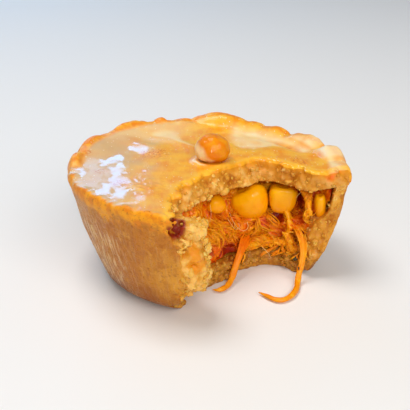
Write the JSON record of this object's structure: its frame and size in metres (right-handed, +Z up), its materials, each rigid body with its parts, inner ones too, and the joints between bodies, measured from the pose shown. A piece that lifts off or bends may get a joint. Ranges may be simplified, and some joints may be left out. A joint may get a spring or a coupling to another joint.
{
  "type": "chicken pie",
  "caption": "Small round shortcrust pie with a pinched lid and a dough ball on top, bitten open at the front to show shredded chicken and sweetcorn.",
  "frame": {"origin": "middle of the pie's flat round foot, on the surface it stands on", "axes": "+Z up, -Y towards the side that the bite opens to, +X to the right of it"},
  "size_m": [0.0749, 0.0738, 0.039],
  "materials": {
    "crust": "baked shortcrust pastry, tan and matt, with a crumbly pale break",
    "glazed_crust": "shortcrust pastry brushed with egg, golden and glossy",
    "ball_crust": "deep golden glazed pastry",
    "chicken": "shredded cooked chicken in an orange sauce, moist",
    "sweetcorn": "cooked sweetcorn, smooth and moist"
  },
  "bodies": {
    "root": {"crust_case": "crust", "crust_lid": "glazed_crust", "dough_ball": "ball_crust", "chicken_filling": "chicken", "chicken_strand_left": "chicken", "chicken_strand_right": "chicken", "sweetcorn_a": "sweetcorn", "sweetcorn_b": "sweetcorn", "sweetcorn_c": "sweetcorn", "sweetcorn_d": "sweetcorn"}
  },
  "joints": []
}
